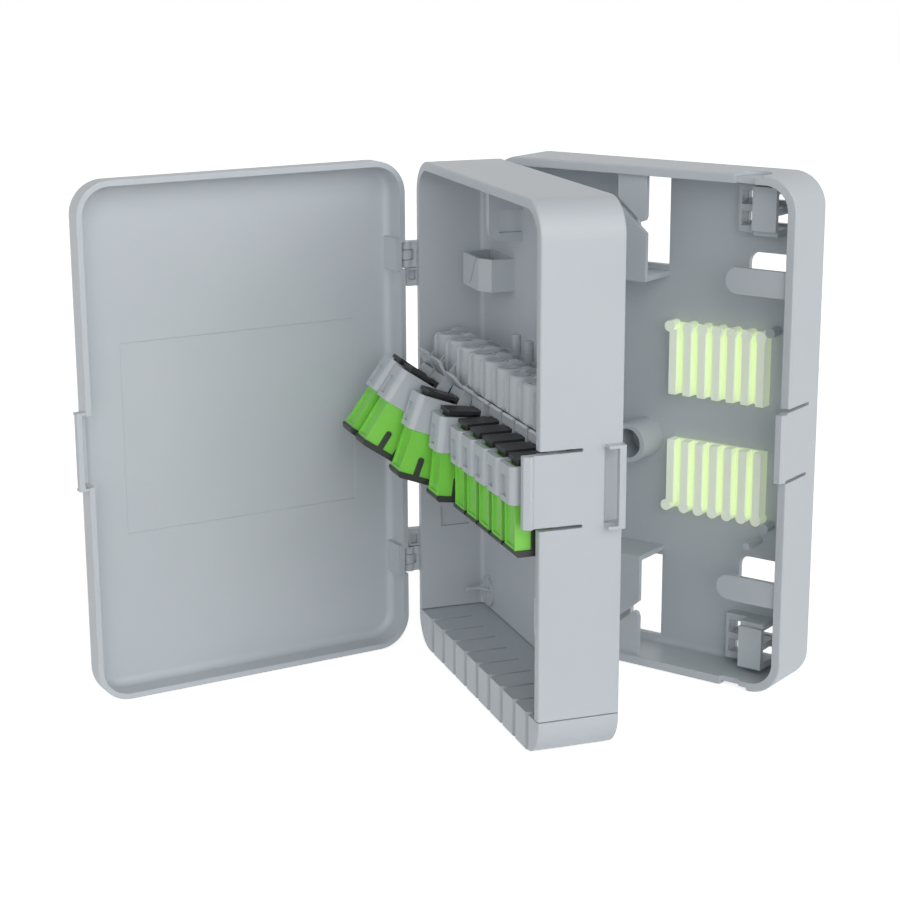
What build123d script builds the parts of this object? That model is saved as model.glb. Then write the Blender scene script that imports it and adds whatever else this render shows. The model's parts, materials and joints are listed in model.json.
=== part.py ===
"""Three-leaf wall box for fibre splices and adapters, opened like a book.

The box is drawn shut: the base's back face lies on the plane Y = 0, the box
grows towards -Y, X runs from the hinge side to the latch side and Z is up.
The leaves and the swing modules are then turned about their hinges.
Lengths are in millimetres and angles in degrees.
"""

from build123d import *
import math
import os

# Outer sizes of the shut box
box_width = 135.0
box_height = 200.0
corner_radius = 13.0
base_depth = 24.0
frame_depth = 31.2
cover_depth = 12.9
parting_gap = 0.3

# Walls
shell_wall = 3.5
cover_wall = 2.2
cover_skin = 2.2
base_floor = 2.5
tray_plate = 2.5
tray_setback = 1.7
cover_edge_round = 6.0
inner_edge_round = 3.0
inner_cove = 2.0
rim_round = 0.7
touch = 0.4

# Opening angles in the open stance
frame_turn = -35.0
cover_turn = -79.0

# Hinges between the leaves
hinge_side_gap = 2.0
frame_hinge_forward = 3.0
cover_hinge_forward = 4.0
hinge_upper_room = 37.9
hinge_lower_room = 35.95
pin_radius = 1.2
pin_clearance = 0.05
knuckle_radius = 2.6
knuckle_height = 3.8
ring_height = 3.0
knuckle_side_gap = 0.25
knuckle_notch_gap = 0.4
lug_depth = 2.5
lug_wall_gap = 0.4
cover_notch_gap = 1.0
hinge_pad_height = 13.0
hinge_pad_lift = 0.5
hinge_pad_thickness = 2.0
foot_reach = 3.8
hook_block_height = 7.2
hook_block_gap = 0.3
hook_block_reach = 1.5
hook_pocket_height = 4.0
hook_pocket_depth = 2.2
hook_pocket_rim = 0.8

# Snap latches
latch_half_height = 13.7
latch_slit = 1.3
latch_slit_length = 15.5
latch_reach = 6.0
latch_thickness = 2.4
latch_bead = 1.1
latch_bead_length = 2.0
latch_gap = 0.3
keeper_bar = 2.2
keeper_depth = 2.5
keeper_arm = 1.1
keeper_overhang = -0.3
keeper_mouth = 7.0
frame_keeper_arm = 6.4
cover_keeper_arm = 3.4

# Window guides on the left of the base
guide_right_x = 3.0
guide_left_x = -20.0
guide_shelf_z = 55.2
guide_plate = 2.0
guide_front_y = -21.5
guide_side_z = 74.0
guide_top_z = 86.0
guide_slant_x = -11.0
guide_tab_left_x = -9.7
guide_tab_z = 78.4
guide_tab_round = 2.2
guide_window_left_x = -12.0
guide_window_z = 59.4
guide_window_height = 34.6

# Retaining tongues on the right of the base
tongue_left_x = 38.3
tongue_centre_z = 60.0
tongue_height = 10.0
tongue_front_y = -22.5
tongue_thickness = 2.0
tongue_window_left_x = 37.5
tongue_window_right_x = 61.0
tongue_window_z = 60.5
tongue_window_height = 15.0
tongue_window_round = 4.5

# Cable tie bridges in the right corners of the base
bridge_left_x = 44.4
bridge_right_x = 54.4
bridge_foot_left_x = 35.2
bridge_foot_wall = 1.2
bridge_low_z = 76.0
bridge_height = 18.5
bridge_low_setback = 1.8
bridge_plate = 2.0
bridge_front_y = -14.5
bridge_rib = 2.6
bridge_foot_depth = 5.0
bridge_slot_height = 4.0
bridge_slot_left_x = 36.6
bridge_slot_right_x = 61.5
bridge_slot_low_z = 79.6
bridge_slot_high_z = 88.3

# Screw boss of the base
boss_x = -6.6
boss_z = -11.0
boss_radius = 7.9
boss_bore_radius = 5.9
boss_front_y = -16.8
screw_hole_radius = 2.25

# Thin places for side cables in the base's top and bottom walls
entry_centre_x = 47.5
entry_half_width = 6.0
entry_length = 12.0
entry_recess = 1.3
entry_notch_left_x = 41.7
entry_notch_width = 8.5
entry_notch_depth = 1.8

# Splice holders
holder_left_x = 6.6
holder_ribs = 7
rib_pitch = 6.4
rib_width = 3.2
rib_flat_z = 9.2
rib_length = 26.0
holder_floor = 1.3
holder_depth = 5.5
bulb_radius = 2.2
holder_floor_lip = 2.4
holder_peg_radius = 1.9
holder_peg_depth = 6.0
holder_peg_x = 50.6
holder_peg_z = 38.6
spare_peg_x = 46.0
spare_peg_z = -45.5
spare_peg_radius = 1.5
spare_peg_depth = 11.0
first_bulb_shift = -1.7

# Row of swing modules
module_count = 9
row_side_room = 7.425
row_centre_x = 3.2
pivot_y = -42.4
pivot_z = 30.5
module_swing = (36.0, 34.0, 20.0, 7.0, 0.0, 0.0, 0.0, 0.0, 0.0)
rod_radius = 1.25
rod_clearance = 0.05
rod_end_gap = 0.3
rod_head_radius = 2.0
rod_head_length = 0.7

# Adapters
module_side_room = 1.575
adapter_depth = 13.0
adapter_front_y = -62.3
adapter_bottom_z = -22.2
adapter_height = 29.7
adapter_panel = 0.8
adapter_panel_edge = 1.1
adapter_panel_top = 1.6
port_wall = 1.4
port_depth = 9.4
port_length = 13.2

# Holders round the adapters
holder_cheek = 1.1
holder_fit = 0.05
holder_bottom_z = -5.4
holder_top_z = 8.4
holder_front = 2.1
holder_round = 2.6
holder_web = 1.5
cheek_front_y = -48.7
web_inner_radius = 15.7
web_thickness = 1.2
web_low_angle = 10.0
web_high_angle = 41.0
cheek_back_y = -40.0
eye_radius = 3.6
holder_window_left = 3.5
holder_window_right = 1.5
holder_window_depth = 1.3
holder_window_low = 2.0
holder_window_high = 4.4
bar_slot_gap = 0.25

# Clips round the adapters
clip_lip = 2.3
clip_reach = 0.8
clip_chamfer = 1.2
clip_rib_width = 2.2
clip_rib_height = 8.5
clip_rib_setback = 7.0
clip_strip_half = 4.0
clip_strip = 1.1
clip_strip_gap = 0.05
clip_plug = 3.0
clip_plug_gap = 0.1
clip_plate_low_z = 9.3
clip_plate_thickness = 1.4
clip_plate_half = 5.0
clip_plate_front_y = -61.0
clip_plate_back_y = -50.5
clip_plate_tip_y = -47.3
clip_bar_width = 2.2
clip_bar_top_z = 14.8
clip_bar_bite = 0.2
clip_bar_reach = 1.25

# Pivot rail with its drums
rail_plate = 1.2
rail_low_z = 14.5
rail_top_z = 28.5
rail_peg_radius = 1.8
rail_peg_low_z = 17.0
rail_peg_top_z = 36.4
rail_peg_places = (2, 3, 5, 6)
rail_rib_half = 2.2
rail_rib_low_z = 26.0
rail_rib_shoulder = 2.0
rail_rib_neck_y = -38.5
rail_rib_slope_y = -40.4
drum_side_gap = 0.4
drum_round = 1.3
drum_front_y = -52.2
drum_back_y = -44.2
drum_low_z = 16.8
drum_height = 16.3
drum_web_gap = 0.4
crescent_radius = 3.2
crescent_width = 1.0
crescent_depth = 0.9
rail_screw_z = 20.0
screw_head_radius = 2.1
screw_head_height = 1.2
screw_shank_radius = 1.0
screw_gap = 0.05
screw_grip = 3.2
slot_width = 0.6
slot_depth = 0.5

# Other shapes moulded on the swing frame
comb_height = 15.0
comb_slot_width = 1.5
comb_mouth_width = 3.2
comb_mouth_depth = 2.0
comb_slot_length = 17.2
comb_wall = 3.0
comb_step = 0.4
recess_y = -41.0
recess_z = -46.0
recess_length = 12.0
recess_height = 8.4
recess_depth = 0.8
pocket_room = 48.0
pocket_height = 12.6
pocket_wall = 1.4
pocket_left_room = 11.5
pocket_side_lean = 3.6
pocket_reach = 12.7
pocket_nose = 21.2
pocket_corner = 26.4
pocket_corner_reach = 9.2
pocket_length = 26.8
pocket_slit = 0.6
pocket_slit_lean = 8.0
eyelet_room = 45.5
eyelet_thickness = 3.0
eyelet_depth = 13.6
eyelet_height = 23.4
eyelet_round = 5.0
eyelet_front_rim = 4.2
eyelet_back_rim = 0.0
eyelet_low_rim = 3.2
eyelet_high_rim = 11.9
eyelet_gusset_reach = 4.4
eyelet_gusset_drop = 5.5
post_side_room = 11.0
post_low_room = 24.0
post_ring_radius = 5.9
post_ring_drop = 2.1
post_ring_height = 1.2
post_height = 10.0
post_radius = 0.85
post_fin_height = 4.6
post_fin_reach = 4.9
post_fin_foot = 1.9
post_fin_thickness = 0.7
nib_z = -46.0
nib_height = 14.0
nib_depth = 2.4
nib_reach = 1.0

# Cover details
label_half_width = 49.0
label_half_height = 37.2
label_recess = 0.3

half_width = box_width / 2
half_height = box_height / 2
frame_back_y = -(base_depth + parting_gap)
frame_front_y = frame_back_y - frame_depth
cover_rim_y = frame_front_y - parting_gap
cover_front_y = cover_rim_y - cover_depth
tray_back_y = frame_back_y - tray_setback
tray_front_y = tray_back_y - tray_plate
hinge_x = -(half_width + hinge_side_gap)
frame_hinge_y = -base_depth - frame_hinge_forward
cover_hinge_y = frame_front_y - cover_hinge_forward
hinge_heights = (half_height - hinge_upper_room, hinge_lower_room - half_height)
module_pitch = (box_width - 2 * row_side_room) / module_count
adapter_half_width = module_pitch / 2 - module_side_room
port_half_width = adapter_half_width - port_wall
drum_half_width = adapter_half_width - drum_side_gap
clip_half_width = adapter_half_width + clip_reach
clip_bar_inner = adapter_half_width - clip_bar_bite
clip_bar_outer = adapter_half_width + clip_bar_reach
frame_axis = Axis((hinge_x, frame_hinge_y, 0), (0, 0, 1))
cover_axis = Axis((hinge_x, cover_hinge_y, 0), (0, 0, 1))
swing_axis = Axis((0, pivot_y, pivot_z), (-1, 0, 0))
eye_bore_radius = rod_radius + rod_clearance
pin_bore_radius = pin_radius + pin_clearance
comb_top_z = -half_height + comb_height
adapter_back_y = adapter_front_y + adapter_depth
adapter_top_z = adapter_bottom_z + adapter_height


def block(x0, x1, y0, y1, z0, z1):
    """Box between two corners."""
    size = (abs(x1 - x0), abs(y1 - y0), abs(z1 - z0))
    return Pos((x0 + x1) / 2, (y0 + y1) / 2, (z0 + z1) / 2) * Box(*size)


def rounded_slab(half_x, half_z, radius, y0, y1):
    """Slab with rounded corners in the XZ plane, from y0 forward to y1."""
    outline = Plane.XZ.offset(-y0) * RectangleRounded(2 * half_x, 2 * half_z, radius)
    return extrude(outline, amount=y0 - y1)


def plate_xz(points, y0, y1):
    """Plate with the given outline in x and z, from y0 forward to y1."""
    outline = Plane.XZ.offset(-y0) * make_face(Polyline(*points, close=True))
    return extrude(outline, amount=y0 - y1)


def plate_yz(points, x0, x1):
    """Plate with the given outline in y and z, from x0 to x1."""
    outline = Plane.YZ.offset(x0) * make_face(Polyline(*points, close=True))
    return extrude(outline, amount=x1 - x0)


def plate_xy(points, z0, z1):
    """Plate with the given outline in x and y, from z0 up to z1."""
    outline = Plane.XY.offset(z0) * make_face(Polyline(*points, close=True))
    return extrude(outline, amount=z1 - z0)


def rod_y(x, z, radius, y0, y1):
    """Cylinder along Y."""
    place = Pos(x, (y0 + y1) / 2, z) * Rot(90, 0, 0)
    return place * Cylinder(radius, abs(y1 - y0))


def rod_z(x, y, radius, z0, z1):
    """Cylinder along Z."""
    return Pos(x, y, (z0 + z1) / 2) * Cylinder(radius, abs(z1 - z0))


def rod_x(y, z, radius, x0, x1):
    """Cylinder along X."""
    return Pos((x0 + x1) / 2, y, z) * Rot(0, 90, 0) * Cylinder(radius, abs(x1 - x0))


def mirror_z(shape):
    """Copy of a shape mirrored to the other half of the height."""
    return mirror(shape, about=Plane.XY)


def leaf_outline(y_back, y_front):
    """Solid outline of one leaf with its outer rims softened."""
    slab = rounded_slab(half_width, half_height, corner_radius, y_back, y_front)
    ends = slab.faces().sort_by(Axis.Y)
    return fillet(ends[0].edges() + ends[-1].edges(), rim_round)


def leaf_hollow(wall, floor_y, mouth_y):
    """Hollow of one leaf, from its floor to beyond its rim."""
    low_y, high_y = min(floor_y, mouth_y), max(floor_y, mouth_y)
    hollow = rounded_slab(half_width - wall, half_height - wall, corner_radius - wall, high_y, low_y)
    floor_edges = hollow.faces().sort_by(Axis.Y)[0 if floor_y < mouth_y else -1].edges()
    return fillet(floor_edges, inner_cove)


def leaf_shell(wall, y_back, y_front, floor_back, floor_front):
    """Rounded frame of one leaf with a floor plate across it, coved into the walls."""
    shape = leaf_outline(y_back, y_front) - leaf_hollow(wall, floor_front, y_front - 1)
    if floor_back < y_back:
        shape -= leaf_hollow(wall, floor_back, y_back + 1)
    return shape


def middle_span(z_centre):
    """Lowest and highest point of a hinge's middle barrel."""
    return [(z_centre - knuckle_height / 2, z_centre + knuckle_height / 2)]


def outer_spans(z_centre):
    """Lowest and highest points of a hinge's two outer barrels."""
    near = knuckle_height / 2 + knuckle_side_gap
    far = near + ring_height
    return [(z_centre - far, z_centre - near), (z_centre + near, z_centre + far)]


def lugged_barrels(axis_y, wall_y, spans):
    """Barrels that stand before a rim, each on a lug that runs back to the wall."""
    barrels = []
    for low, high in spans:
        barrel = rod_z(hinge_x, axis_y, knuckle_radius, low, high)
        web_x = hinge_x - hinge_side_gap
        web = block(web_x, -half_width - lug_wall_gap, axis_y, wall_y + lug_depth, low, high)
        root = block(web_x, -half_width + touch, wall_y, wall_y + lug_depth, low, high)
        bore = rod_z(hinge_x, axis_y, pin_bore_radius, low - 1, high + 1)
        barrels.append(barrel + web + root - bore)
    return barrels


def footed_barrels(axis_y, wall_x, spans):
    """Barrels that stand beside a wall, each on a foot that runs into it."""
    barrels = []
    for low, high in spans:
        barrel = rod_z(hinge_x, axis_y, knuckle_radius, low, high)
        foot = block(hinge_x, wall_x, axis_y - foot_reach, axis_y + hinge_side_gap / 2, low, high)
        bore = rod_z(hinge_x, axis_y, pin_bore_radius, low - 1, high + 1)
        barrels.append(barrel + foot - bore)
    return barrels


def barrel_notch(axis_y, gap, spans):
    """Room that a wall leaves round the other leaf's barrels."""
    low = min(span[0] for span in spans) - knuckle_side_gap
    high = max(span[1] for span in spans) + knuckle_side_gap
    return rod_z(hinge_x, axis_y, knuckle_radius + gap, low, high)


def hinge_pin(axis_y, z_centre):
    """Pin through one hinge."""
    reach = knuckle_height / 2 + knuckle_side_gap + ring_height
    return rod_z(hinge_x, axis_y, pin_radius, z_centre - reach, z_centre + reach)


def latch_slits(rim_y):
    """Two slits that free the latch tongue in the latch wall."""
    cuts = []
    for side in (-1, 1):
        z = side * latch_half_height
        end_y = rim_y + latch_slit_length
        slit = block(half_width - 2 * shell_wall, half_width + 1, rim_y - 1, end_y,
                     z - latch_slit / 2, z + latch_slit / 2)
        cuts.append(slit + rod_x(end_y, z, latch_slit / 2, half_width - 2 * shell_wall, half_width + 1))
    return cuts


def latch_tongue(rim_y):
    """Tongue that reaches past the rim, with its bead outside."""
    reach_z = latch_half_height - latch_slit / 2
    tip_y = rim_y - latch_reach
    outer = half_width
    inner = outer - latch_thickness
    points = [
        (outer, rim_y + 1), (outer, tip_y + 2 * latch_bead_length),
        (outer + latch_bead, tip_y + 1.5 * latch_bead_length),
        (outer + latch_bead, tip_y + latch_bead_length),
        (outer, tip_y), (inner, tip_y), (inner, rim_y), (outer - shell_wall, rim_y + 1),
    ]
    return plate_xy(points, -reach_z, reach_z)


def latch_keeper(rim_y, arm_length):
    """Bail outside the latch wall that the other leaf's tongue snaps behind."""
    arm_inner = latch_half_height + latch_gap
    bar_inner = half_width + latch_bead + latch_gap
    bar_outer = bar_inner + keeper_bar
    tip_y = rim_y + keeper_overhang
    arm_outer = arm_inner + keeper_arm
    bail = block(bar_inner, bar_outer, tip_y, tip_y - keeper_depth, -arm_outer, arm_outer)
    for side in (-1, 1):
        bail += block(half_width - touch, bar_outer, tip_y, tip_y - arm_length,
                      side * arm_inner, side * arm_outer)
    return bail


def keeper_slot(rim_y):
    """Mouth in the latch wall for the other leaf's tongue."""
    return block(half_width - shell_wall - 0.1, half_width + 1, rim_y + 1, rim_y - keeper_mouth,
                 -latch_half_height, latch_half_height)


def base_guide():
    """Window guide of one left corner: shelf, slanted lip plate and hanging tab."""
    shelf = block(guide_left_x, guide_right_x, -base_floor + touch, guide_front_y,
                  guide_shelf_z, guide_shelf_z + guide_plate)
    back_y = guide_front_y + guide_plate
    lip = plate_xz([
        (guide_left_x, guide_shelf_z), (guide_right_x, guide_shelf_z), (guide_right_x, guide_side_z),
        (guide_slant_x, guide_top_z), (guide_left_x, guide_top_z)], back_y, guide_front_y)
    slope = (guide_top_z - guide_side_z) / (guide_right_x - guide_slant_x)
    wall_z = half_height - shell_wall + touch
    low_x = guide_right_x - guide_tab_round
    tab_left_z = guide_tab_z + slope * (low_x - guide_tab_left_x)
    tab = plate_xz([
        (guide_right_x, wall_z), (guide_right_x, guide_tab_z + guide_tab_round),
        (guide_right_x - guide_tab_round * 0.3, guide_tab_z + guide_tab_round * 0.3),
        (low_x, guide_tab_z), (guide_tab_left_x, tab_left_z), (guide_tab_left_x, wall_z)],
        back_y, guide_front_y)
    return shelf + lip + tab


def guide_window():
    """Moulding window behind a window guide."""
    return block(guide_window_left_x, guide_right_x - touch, 1, -base_floor - 1,
                 guide_window_z, guide_window_z + guide_window_height)


def retaining_tongue():
    """Round-ended tongue that keeps fibre in the base."""
    radius = tongue_height / 2
    back_y = tongue_front_y + tongue_thickness
    centre_x = tongue_left_x + radius
    end = rod_y(centre_x, tongue_centre_z, radius, back_y, tongue_front_y)
    bar = block(centre_x, half_width - shell_wall + touch, back_y, tongue_front_y,
                tongue_centre_z - radius, tongue_centre_z + radius)
    return end + bar


def tongue_window():
    """Moulding window behind a retaining tongue."""
    half_x = (tongue_window_right_x - tongue_window_left_x) / 2
    centre = Pos(tongue_window_left_x + half_x, 0, tongue_window_z)
    return centre * rounded_slab(half_x, tongue_window_height / 2, tongue_window_round, 1, -base_floor - 1)


def tie_bridge():
    """Bridge on ribs for a cable tie, with a low comb beside it."""
    top_z = bridge_low_z + bridge_height
    back_y = bridge_front_y + bridge_plate
    foot_y = -base_floor - bridge_foot_depth
    shape = block(bridge_left_x, bridge_right_x, back_y, bridge_front_y,
                  bridge_low_z + bridge_low_setback, top_z)
    shape += block(bridge_foot_left_x, bridge_foot_left_x + bridge_foot_wall, -base_floor + touch, foot_y,
                   bridge_low_z, top_z)
    middle_z = (bridge_low_z + top_z - bridge_rib) / 2
    for z in (bridge_low_z, middle_z, top_z - bridge_rib):
        shape += block(bridge_left_x, bridge_right_x, -base_floor + touch, back_y - touch, z, z + bridge_rib)
        shape += block(bridge_foot_left_x, bridge_left_x + touch, -base_floor + touch, foot_y,
                       z, z + bridge_rib)
    return shape


def tie_slots():
    """Two slots through the floor behind a bridge."""
    cuts = []
    for z in (bridge_slot_low_z, bridge_slot_high_z):
        cuts.append(block(bridge_slot_left_x, bridge_slot_right_x, 1, -base_floor - 1,
                          z, z + bridge_slot_height))
    return cuts


def cable_entry():
    """Thin U-shaped place in the top wall, with a notch in its rim."""
    floor_z = half_height - entry_recess
    end_y = -base_depth + entry_length - entry_half_width
    cut = block(entry_centre_x - entry_half_width, entry_centre_x + entry_half_width,
                -base_depth - 1, end_y, floor_z, half_height + 1)
    cut += rod_z(entry_centre_x, end_y, entry_half_width, floor_z, half_height + 1)
    wall_z = half_height - shell_wall
    cut += block(entry_notch_left_x, entry_notch_left_x + entry_notch_width,
                 -base_depth - 1, -base_depth + entry_notch_depth, wall_z - 1, floor_z + touch)
    return cut


def screw_boss():
    """Hollow boss on the base's floor."""
    return rod_y(boss_x, boss_z, boss_radius, -base_floor + touch, boss_front_y)


def holder_pegs():
    """Pegs on the floor beside the splice holders' last bulbs, and a spare one."""
    pegs = [rod_y(holder_peg_x, z, holder_peg_radius, -base_floor + touch, -base_floor - holder_peg_depth)
            for z in (holder_peg_z, -holder_peg_z)]
    spare = rod_y(spare_peg_x, spare_peg_z, spare_peg_radius,
                  -base_floor + touch, -base_floor - spare_peg_depth)
    return [*pegs, spare]


def back_base():
    """Wall-side leaf of the box."""
    shape = leaf_shell(shell_wall, 0, -base_depth, 0, -base_floor)
    for window in (guide_window(), tongue_window(), *tie_slots()):
        shape -= window
        shape -= mirror_z(window)
    for feature in (base_guide(), retaining_tongue(), tie_bridge()):
        shape += feature
        shape += mirror_z(feature)
    entry = cable_entry()
    shape -= entry
    shape -= mirror_z(entry)
    shape += screw_boss()
    shape -= rod_y(boss_x, boss_z, boss_bore_radius, -base_floor, boss_front_y - 1)
    shape -= rod_y(boss_x, boss_z, screw_hole_radius, 1, -base_floor - 1)
    for peg in holder_pegs():
        shape += peg
    for z in hinge_heights:
        for barrel in lugged_barrels(frame_hinge_y, -base_depth, middle_span(z)):
            shape += barrel
    for cut in latch_slits(-base_depth):
        shape -= cut
    return shape + latch_tongue(-base_depth)


def splice_holder():
    """Comb of ribs on a thin plate, with a round bulb at each rib's end."""
    right_x = holder_left_x + (holder_ribs - 1) * rib_pitch + rib_width
    end_z = rib_flat_z + rib_length
    back_y = -base_floor
    shape = block(holder_left_x, right_x, back_y, back_y - holder_floor, rib_flat_z, end_z + holder_floor_lip)
    for index in range(holder_ribs):
        x = holder_left_x + index * rib_pitch
        shape += block(x, x + rib_width, back_y, back_y - holder_depth, rib_flat_z, end_z)
        bulb_x = x + rib_width / 2 + (first_bulb_shift if index == 0 else 0)
        shape += rod_y(bulb_x, end_z + bulb_radius / 2, bulb_radius, back_y, back_y - holder_depth)
    return shape


def module_x(index):
    """Middle of one module in the row."""
    return row_centre_x + (index - (module_count - 1) / 2) * module_pitch


def screw_places():
    """Places of the rail's screws along the row."""
    return [module_x(index) + module_pitch / 2 for index in (0, 2, 5, 7)]


def drum(x):
    """Round-fronted drum before one pivot, with a crescent groove on top."""
    centre_y = drum_front_y + drum_half_width
    top_z = drum_low_z + drum_height
    shape = rod_z(x, centre_y, drum_half_width, drum_low_z, top_z)
    shape += block(x - drum_half_width, x + drum_half_width, centre_y, drum_back_y, drum_low_z, top_z)
    shape = fillet(shape.faces().sort_by(Axis.Z)[-1].edges(), drum_round)
    inner_radius = crescent_radius - crescent_width
    ring = Cylinder(crescent_radius, 2 * crescent_depth) - Cylinder(inner_radius, 4 * crescent_depth)
    ring -= Pos(-crescent_radius, crescent_radius, 0) * Box(2 * crescent_radius, 4 * crescent_radius, 4)
    shape -= Pos(x, centre_y, top_z) * ring
    return shape & rod_x(pivot_y, pivot_z, web_inner_radius - drum_web_gap, x - module_pitch, x + module_pitch)


def pivot_rail():
    """Rail on the tray with a peg, a rib and a drum for each module."""
    left_x = module_x(0) - adapter_half_width
    right_x = module_x(module_count - 1) + adapter_half_width
    front_y = tray_front_y - rail_plate
    shape = block(left_x, right_x, tray_front_y, front_y, rail_low_z, rail_top_z)
    for index in range(module_count):
        x = module_x(index)
        if index in rail_peg_places:
            peg = rod_z(x, front_y, rail_peg_radius, rail_peg_low_z, rail_peg_top_z)
            shape += peg - block(x - 2 * rail_peg_radius, x + 2 * rail_peg_radius, tray_front_y,
                                 tray_front_y + 2 * rail_peg_radius, rail_peg_low_z, rail_peg_top_z)
        shape += plate_yz([
            (tray_front_y, rail_low_z), (tray_front_y, rail_top_z), (rail_rib_neck_y, rail_top_z),
            (rail_rib_slope_y, pivot_z + rail_rib_shoulder),
            (drum_back_y - touch, pivot_z + rail_rib_shoulder), (drum_back_y - touch, rail_rib_low_z),
            (rail_rib_neck_y, rail_rib_low_z)], x - rail_rib_half, x + rail_rib_half)
        shape += drum(x)
    for x in screw_places():
        shape -= rod_y(x, rail_screw_z, screw_shank_radius + screw_gap, tray_front_y + 1, front_y - 1)
    return shape - rod_x(pivot_y, pivot_z, rod_radius, left_x - 1, right_x + 1)


def pivot_rod():
    """Long rod through the rail, with a small head at each end."""
    reach = adapter_half_width + holder_cheek + holder_fit + rod_end_gap
    left_x = module_x(0) - reach
    right_x = module_x(module_count - 1) + reach
    shape = rod_x(pivot_y, pivot_z, rod_radius, left_x - rod_head_length, right_x + rod_head_length)
    shape += rod_x(pivot_y, pivot_z, rod_head_radius, left_x - rod_head_length, left_x)
    return shape + rod_x(pivot_y, pivot_z, rod_head_radius, right_x, right_x + rod_head_length)


def rail_screw(x):
    """Slotted screw that holds the rail on the tray."""
    seat_y = tray_front_y - rail_plate
    head_y = seat_y - screw_head_height
    shape = rod_y(x, rail_screw_z, screw_head_radius, seat_y, head_y)
    shape += rod_y(x, rail_screw_z, screw_shank_radius, seat_y, seat_y + screw_grip)
    return shape - block(x - screw_head_radius, x + screw_head_radius, head_y - 1, head_y + slot_depth,
                         rail_screw_z - slot_width / 2, rail_screw_z + slot_width / 2)


def fibre_pocket():
    """Prow-shaped pocket on the tray, open at its top."""
    left_x = -half_width + pocket_left_room
    back_y = tray_front_y + touch
    low_z = half_height - pocket_room
    front_y = tray_front_y - pocket_reach
    outer = [
        (left_x, back_y), (left_x + pocket_side_lean, front_y), (left_x + pocket_nose, front_y),
        (left_x + pocket_corner, tray_front_y - pocket_corner_reach), (left_x + pocket_length, back_y)]
    solid = plate_xy(outer, low_z, low_z + pocket_height)
    face = Plane.XY.offset(low_z + pocket_wall) * make_face(Polyline(*outer, close=True))
    hollow = extrude(offset(face, amount=-pocket_wall), amount=pocket_height)
    slit_x = left_x + pocket_nose - pocket_wall
    slit = plate_xz([
        (slit_x, low_z + pocket_height + 1), (slit_x - pocket_slit, low_z + pocket_height + 1),
        (slit_x - pocket_slit - pocket_slit_lean, low_z + pocket_wall),
        (slit_x - pocket_slit_lean, low_z + pocket_wall)],
        front_y + 2 * pocket_wall, front_y - 1)
    return solid - hollow - slit


def fibre_eyelet():
    """Plate with a window that hangs under the top wall."""
    top_z = half_height - shell_wall + touch
    back_y = tray_front_y + touch
    front_y = tray_front_y - eyelet_depth
    low_z = half_height - shell_wall - eyelet_height
    eyelet_x = -half_width + eyelet_room
    half = eyelet_thickness / 2
    plate = block(eyelet_x - half, eyelet_x + half, back_y, front_y, low_z, top_z)
    edges = plate.edges().filter_by(Axis.X).sort_by(lambda edge: edge.center().Y + edge.center().Z)
    plate = fillet(edges[0], eyelet_round)
    hole = block(eyelet_x - eyelet_thickness, eyelet_x + eyelet_thickness, tray_front_y - eyelet_back_rim,
                 front_y + eyelet_front_rim, low_z + eyelet_low_rim, top_z - eyelet_high_rim)
    gusset = plate_yz([
        (front_y + touch, top_z), (front_y - eyelet_gusset_reach, top_z),
        (front_y + touch, top_z - touch - eyelet_gusset_drop)], eyelet_x - half, eyelet_x + half)
    return plate - hole + gusset


def fibre_post():
    """Disc on the tray with a pointed post on four fins."""
    post_x = -half_width + post_side_room
    post_z = post_low_room - half_height
    ring = rod_y(post_x, post_z - post_ring_drop, post_ring_radius, tray_front_y + touch,
                 tray_front_y - post_ring_height)
    post = rod_y(post_x, post_z, post_radius, tray_front_y + touch, tray_front_y - post_height)
    shape = ring + post
    for angle in (0, 90, 180, 270):
        fin = plate_yz([(tray_front_y + touch, 0), (tray_front_y - post_fin_height, 0),
                        (tray_front_y - post_fin_foot, post_fin_reach), (tray_front_y + touch, post_fin_reach)],
                       -post_fin_thickness / 2, post_fin_thickness / 2)
        shape += Pos(post_x, 0, post_z) * Rot(0, angle, 0) * fin
    return shape


def hook_block(z_centre):
    """Block with a pocket beside one cover hinge, on the side of the box's middle."""
    inward = -math.copysign(1, z_centre)
    near = z_centre + inward * (knuckle_height / 2 + knuckle_side_gap + ring_height + hook_block_gap)
    far = near + inward * hook_block_height
    outer_x = -half_width - lug_wall_gap
    back_y = frame_front_y + lug_depth
    shape = block(hinge_x - hook_block_reach, outer_x, cover_hinge_y, back_y, near, far)
    shape += block(hinge_x - hook_block_reach, -half_width + touch, frame_front_y, back_y, near, far)
    pocket_near = near + inward * hook_pocket_rim
    return shape - block(outer_x - hook_pocket_depth, outer_x + 1, cover_hinge_y + hook_pocket_rim,
                         frame_front_y - touch, pocket_near, pocket_near + inward * hook_pocket_height)


def hinge_bridge(z_centre):
    """Web that joins the two rings of a cover hinge behind its middle barrel."""
    low, high = middle_span(z_centre)[0]
    front_y = cover_hinge_y + knuckle_radius + lug_wall_gap
    return block(hinge_x - hinge_side_gap, -half_width - lug_wall_gap, front_y, frame_front_y + lug_depth,
                 low - 2 * knuckle_side_gap, high + 2 * knuckle_side_gap)


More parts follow.
